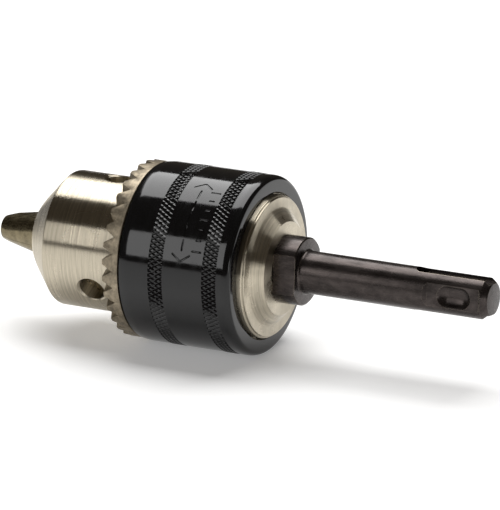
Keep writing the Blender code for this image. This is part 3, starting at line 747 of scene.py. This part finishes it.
def make_adapter():
    collar_r, shank_r = sizes().collar_radius, sizes().shank_radius
    collar_rear = COLLAR_FRONT + 5.6 * MM
    thread_r = 6.2 * MM
    neck_r = 0.7 * MM
    neck = arc((collar_rear + neck_r, shank_r), (collar_rear, shank_r), (collar_rear, shank_r + neck_r), 5)
    profile = [
        (SHANK_END, 0.0), (SHANK_END, 3.7 * MM), (SHANK_END - 0.25 * MM, 4.05 * MM),
        (SHANK_END - 1.5 * MM, shank_r - 0.05 * MM), (SHANK_END - 1.8 * MM, shank_r),
    ] + neck + [
        (collar_rear, collar_r - 0.3 * MM), (collar_rear - 0.3 * MM, collar_r),
        (COLLAR_FRONT + 0.15 * MM, collar_r), (COLLAR_FRONT, collar_r - 0.15 * MM), (COLLAR_FRONT, thread_r),
    ]
    pitch = 1.27 * MM
    turns = int((COLLAR_FRONT - ADAPTER_FRONT - 2 * MM) / pitch)
    for k in range(turns):
        x = COLLAR_FRONT - 1.0 * MM - k * pitch
        root_r = thread_r - 0.5 * MM
        profile += [
            (x, thread_r), (x - 0.3 * pitch, root_r), (x - 0.42 * pitch, root_r), (x - 0.8 * pitch, thread_r),
        ]
    bore_r = 3.3 * MM
    bore_end = high("lock_screw").x + 0.6 * MM
    profile += [
        (ADAPTER_FRONT + 0.5 * MM, thread_r), (ADAPTER_FRONT, thread_r - 0.5 * MM), (ADAPTER_FRONT, bore_r),
        (bore_end, bore_r), (bore_end + 1.5 * MM, 0.0),
    ]
    adapter = lathe("adapter_forging", profile, steps=96, closed=False)
    middle = (COLLAR_FRONT + collar_rear) / 2
    for side in (0, 1):
        open_turn = about_axis(ADAPTER_TURN + side * math.pi)
        lock_turn = about_axis(ADAPTER_TURN + math.pi / 2 + side * math.pi)
        flat = lock_turn @ shift(x=middle, z=6.5 * MM + collar_r / 2)
        machine(adapter, block("spanner_flat", (8.0 * MM, 3 * collar_r, collar_r), flat))
        machine(adapter, open_groove(open_turn))
        machine(adapter, lock_flat(lock_turn))
        machine(adapter, lock_pocket(lock_turn))
    break_edges(adapter, 0.2 * MM)
    smooth(adapter, 20.0)
    return adapter


def open_groove(turn):
    """Cutter for a driving groove: open at the shank's end, with a round run-out."""
    length_value, width, depth = 19.4 * MM, 4.4 * MM, 1.4 * MM
    shank_r = sizes().shank_radius
    size = (length_value + 2 * MM, width, shank_r)
    centre = shift(x=SHANK_END + 2 * MM - size[0] / 2, z=shank_r - depth + size[2] / 2)
    cutter = block("groove_cutter", size, centre)
    inner_end = SHANK_END - length_value
    verts = cutter.data.vertices

    def upright_at_inner_end(edge):
        a, b = (verts[i].co for i in edge.vertices)
        return abs(a.z - b.z) > MM and abs(a.x - inner_end) < 0.1 * MM

    select_edges(cutter, upright_at_inner_end)
    bpy.ops.mesh.bevel(offset=0.45 * width, segments=8)
    bpy.ops.object.mode_set(mode="OBJECT")
    return settle(cutter, turn)


def lock_flat(turn):
    """Cutter for the flat round the ball pocket, with sloping ends."""
    shank_r = sizes().shank_radius
    depth, flat_length, to_end = 0.8 * MM, 12.9 * MM, 2.0 * MM
    rear = SHANK_END - to_end
    front = rear - flat_length
    middle = (front + rear) / 2
    place = shift(x=middle, z=shank_r - depth + shank_r / 2)
    cutter = block("flat_cutter", (flat_length, 3 * shank_r, shank_r), place)
    spread_x = 1.05 * MM * shank_r / depth
    for vert in cutter.data.vertices:
        if vert.co.z > shank_r:
            vert.co.x += -spread_x if vert.co.x < middle else spread_x / 2
    return settle(cutter, turn)


def lock_pocket(turn):
    """Cutter for a locking pocket: a ball stretched along the shank."""
    shank_r = sizes().shank_radius
    ball_r, depth, pocket_length = 3.5 * MM, 1.1 * MM, 8.4 * MM
    flat_r = shank_r - 0.8 * MM
    centre_r = flat_r - depth + ball_r
    stretch = pocket_length / 2 - math.sqrt(ball_r ** 2 - (centre_r - flat_r) ** 2)
    clear_bench()
    bpy.ops.mesh.primitive_uv_sphere_add(segments=48, ring_count=31, radius=ball_r)
    cutter = settle(bpy.context.object, Matrix.Rotation(math.pi / 2, 4, "Y"))
    for vert in cutter.data.vertices:
        vert.co.x += stretch if vert.co.x > 0 else -stretch
    return settle(cutter, turn @ shift(x=SHANK_END - 4.0 * MM - pocket_length / 2, z=centre_r))


# ---------------------------------------------------------------- operators


class CHUCK_OT_body(bpy.types.Operator):
    """Turn and drill the chuck body"""

    bl_idname = "chuck.body"
    bl_label = "Chuck Body"

    def execute(self, context):
        hand_over(make_body(), "body", ["chuck_body"], turned_nickel_steel())
        return {"FINISHED"}


class CHUCK_OT_sleeve(bpy.types.Operator):
    """Make the toothed ring and the knurled grip shell"""

    bl_idname = "chuck.sleeve"
    bl_label = "Toothed Ring and Grip Shell"

    def execute(self, context):
        hand_over(make_ring(), "sleeve", ["toothed_ring"], milled_tooth_steel())
        hand_over(make_shell(), "sleeve", ["grip_shell"], gloss_black_oxide())
        return {"FINISHED"}


class CHUCK_OT_jaws(bpy.types.Operator):
    """Grind the three jaws"""

    bl_idname = "chuck.jaws"
    bl_label = "Jaws"

    def execute(self, context):
        steel = tempered_jaw_steel()
        for number in (1, 2, 3):
            hand_over(make_jaw(number), f"jaw_{number}_body", [f"jaw_{number}"], steel)
        return {"FINISHED"}


class CHUCK_OT_adapter(bpy.types.Operator):
    """Forge and turn the SDS-plus adapter"""

    bl_idname = "chuck.adapter"
    bl_label = "Adapter"

    def execute(self, context):
        hand_over(make_adapter(), "body", ["sds_adapter"], brown_oxide_forging())
        return {"FINISHED"}


class CHUCK_OT_inner_parts(bpy.types.Operator):
    """Finish the pieces inside the chuck"""

    bl_idname = "chuck.inner_parts"
    bl_label = "Inner Parts"

    def execute(self, context):
        finish_of = {
            "nut_half": bpy.data.materials["tempered_jaw_steel"], "bearing": polished_bearing_steel(),
            "ball_cage": stamped_brass(), "lock_screw": bpy.data.materials["brown_oxide_forging"],
        }
        for name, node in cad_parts.items():
            for start, finish in finish_of.items():
                if name.startswith(start):
                    node.data.materials.clear()
                    node.data.materials.append(finish)
        return {"FINISHED"}


class CHUCK_OT_stage(bpy.types.Operator):
    """Set the floor, the studio lights and the camera"""

    bl_idname = "chuck.stage"
    bl_label = "Stage"

    def execute(self, context):
        make_floor()
        make_lights()
        make_camera()
        return {"FINISHED"}


def make_floor():
    """Pale floor that the grip shell rests on, lit a little from below, as a light table is."""
    clear_bench()
    bpy.ops.mesh.primitive_plane_add(size=6.0, location=(0.0, 0.0, low("grip_shell").z))
    floor = bpy.context.object
    floor.name = "studio_floor"
    mat, tree, shader, place = start_finish("matt_pale_floor", finishes().floor, 0.9, 0.0)
    shader.inputs["Emission Color"].default_value = (1.0, 1.0, 1.0, 1.0)
    shader.inputs["Emission Strength"].default_value = 0.25
    floor.data.materials.append(mat)


def softbox(name, turn, span, ends, radiance, swing=0.0, distance=0.9):
    """Area light that lies along the chuck, at a turn from straight ahead of its side up over the top.

    The span is its height as an angle, ends are its two ends along X, radiance is its brightness, and
    swing turns it round the vertical towards the shank.
    """
    height = 2 * distance * math.tan(math.radians(span) / 2)
    width = ends[1] - ends[0]
    light = bpy.data.lights.new(name, "AREA")
    light.shape = "RECTANGLE"
    light.size, light.size_y = width, height
    light.energy = radiance * math.pi * width * height
    obj = bpy.data.objects.new(name, light)
    bpy.context.scene.collection.objects.link(obj)
    angle = math.radians(turn)
    turned = Matrix.Rotation(math.radians(swing), 3, "Z")
    back = turned @ Vector((0.0, -math.cos(angle), math.sin(angle)))
    along = turned @ Vector((1.0, 0.0, 0.0))
    middle = Vector(((SHELL_FRONT + SHELL_REAR) / 2, 0.0, 0.0)) + along * sum(ends) / 2
    obj.location = middle + back * distance
    obj.rotation_euler = Matrix((along, back.cross(along), back)).transposed().to_euler()


def make_lights():
    """A dim room with a large softbox overhead, a smaller one low in front and a weak one by the shank."""
    world = bpy.data.worlds.new("studio")
    bpy.context.scene.world = world
    world.use_nodes = True
    background = world.node_tree.nodes["Background"]
    background.inputs["Color"].default_value = (1.0, 0.86, 0.7, 1.0)
    background.inputs["Strength"].default_value = 0.06
    softbox("overhead", 110.5, 47.0, (-0.62, 0.3), 5.1)
    softbox("front", 22.5, 31.0, (-0.585, -0.2), 2.8)
    softbox("shank_side", 1.0, 16.0, (-0.15, 0.15), 2.2, swing=62.0)


def make_camera():
    """Long lens at the viewing angle of a product picture."""
    azimuth, elevation = math.radians(26.669), math.radians(17.192)
    back = Vector((
        math.sin(azimuth) * math.cos(elevation), -math.cos(azimuth) * math.cos(elevation), math.sin(elevation)
    ))
    right = Vector((math.cos(azimuth), math.sin(azimuth), 0.0))
    up = back.cross(right)
    camera = bpy.data.cameras.new("camera")
    camera.sensor_width = 36.0
    camera.lens = 388.87
    camera.clip_start, camera.clip_end = 0.05, 20.0
    obj = bpy.data.objects.new("camera", camera)
    bpy.context.scene.collection.objects.link(obj)
    place = back * 1290.5 * MM + right * 21.118 * MM - up * 1.239 * MM
    obj.location = place + Vector((SHELL_FRONT, 0.0, 0.0))
    turn = Matrix((right, up, back)).transposed()
    obj.rotation_euler = turn.to_euler()
    bpy.context.scene.camera = obj
    bpy.context.scene.view_settings.view_transform = "Standard"


class CHUCK_PT_panel(bpy.types.Panel):
    """Steps of the chuck's finishing, in order"""

    bl_idname = "CHUCK_PT_panel"
    bl_label = "Drill Chuck"
    bl_space_type = "VIEW_3D"
    bl_region_type = "UI"
    bl_category = "Chuck"

    def draw(self, context):
        for group in (context.scene.chuck_sizes, context.scene.chuck_finishes):
            for name in group.__annotations__:
                self.layout.prop(group, name)
        for step in STEPS:
            self.layout.operator(step.bl_idname)


STEPS = (
    CHUCK_OT_body, CHUCK_OT_sleeve, CHUCK_OT_jaws, CHUCK_OT_adapter, CHUCK_OT_inner_parts, CHUCK_OT_stage,
)
CLASSES = (ChuckSizes, ChuckFinishes, *STEPS, CHUCK_PT_panel)


def register():
    for item in CLASSES:
        bpy.utils.register_class(item)
    bpy.types.Scene.chuck_sizes = bpy.props.PointerProperty(type=ChuckSizes)
    bpy.types.Scene.chuck_finishes = bpy.props.PointerProperty(type=ChuckFinishes)


def unregister():
    del bpy.types.Scene.chuck_finishes
    del bpy.types.Scene.chuck_sizes
    for item in reversed(CLASSES):
        bpy.utils.unregister_class(item)


def main():
    register()
    bpy.ops.chuck.body()
    bpy.ops.chuck.sleeve()
    bpy.ops.chuck.jaws()
    bpy.ops.chuck.adapter()
    bpy.ops.chuck.inner_parts()
    bpy.ops.chuck.stage()


if __name__ == "__main__":
    main()
